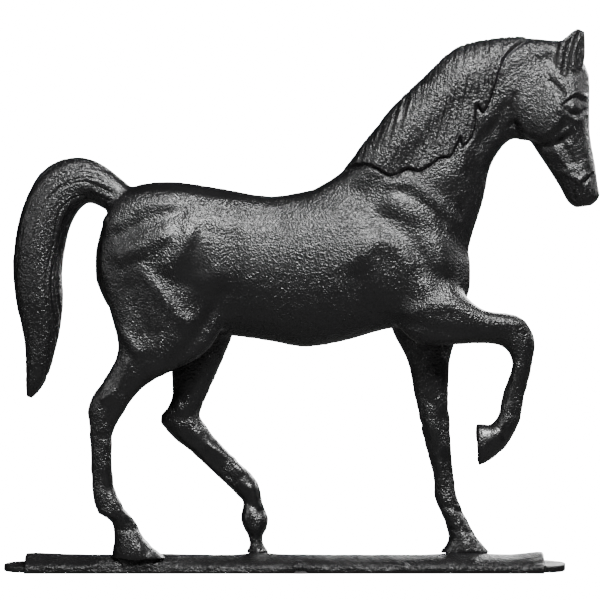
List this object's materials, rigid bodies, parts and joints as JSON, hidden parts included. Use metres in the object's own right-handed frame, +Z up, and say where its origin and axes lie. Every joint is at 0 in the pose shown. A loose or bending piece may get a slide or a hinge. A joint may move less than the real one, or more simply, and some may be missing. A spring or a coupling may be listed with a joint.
{
  "type": "weather vane",
  "caption": "Prancing horse figure of a garden weather vane, cast in two halves on a ground rail, turning on a low pivot under the rail.",
  "frame": {"origin": "on the pivot axis, in the face of the pivot post that rests on the mast, level with the underside of the rail", "axes": "+Z up along the pivot axis, +X along the rail toward the horse's head, which points into the wind; the parting plane of the two halves is Y = 0"},
  "size_m": [0.3701, 0.052, 0.3363],
  "materials": {
    "casting": "semi-gloss black paint over rough sand-cast aluminium",
    "rail": "semi-gloss black paint over sand-cast aluminium with rough edges",
    "fasteners": "zinc-plated steel",
    "brass": "turned bronze",
    "pivot_steel": "turned stainless steel",
    "nylon": "natural nylon",
    "felt": "oiled black felt"
  },
  "bodies": {
    "mast_side": {"pivot_post": "pivot_steel"},
    "vane": {"horse_near_half": "casting", "horse_far_half": "casting", "body_screws": "fasteners", "dowel_pins": "fasteners", "ground_rail": "rail", "hoof_screws": "fasteners", "fixing_inserts": "brass", "pivot_bush": "brass", "thrust_pad": "nylon", "retaining_ring": "pivot_steel", "ring_screws": "fasteners", "dust_seal": "felt"}
  },
  "joints": [
    {"name": "wind_turn", "type": "hinge", "parent": "mast_side", "child": "vane", "pos_m": [0, 0, 0], "axis": [0, 0, 1], "continuous": true}
  ]
}
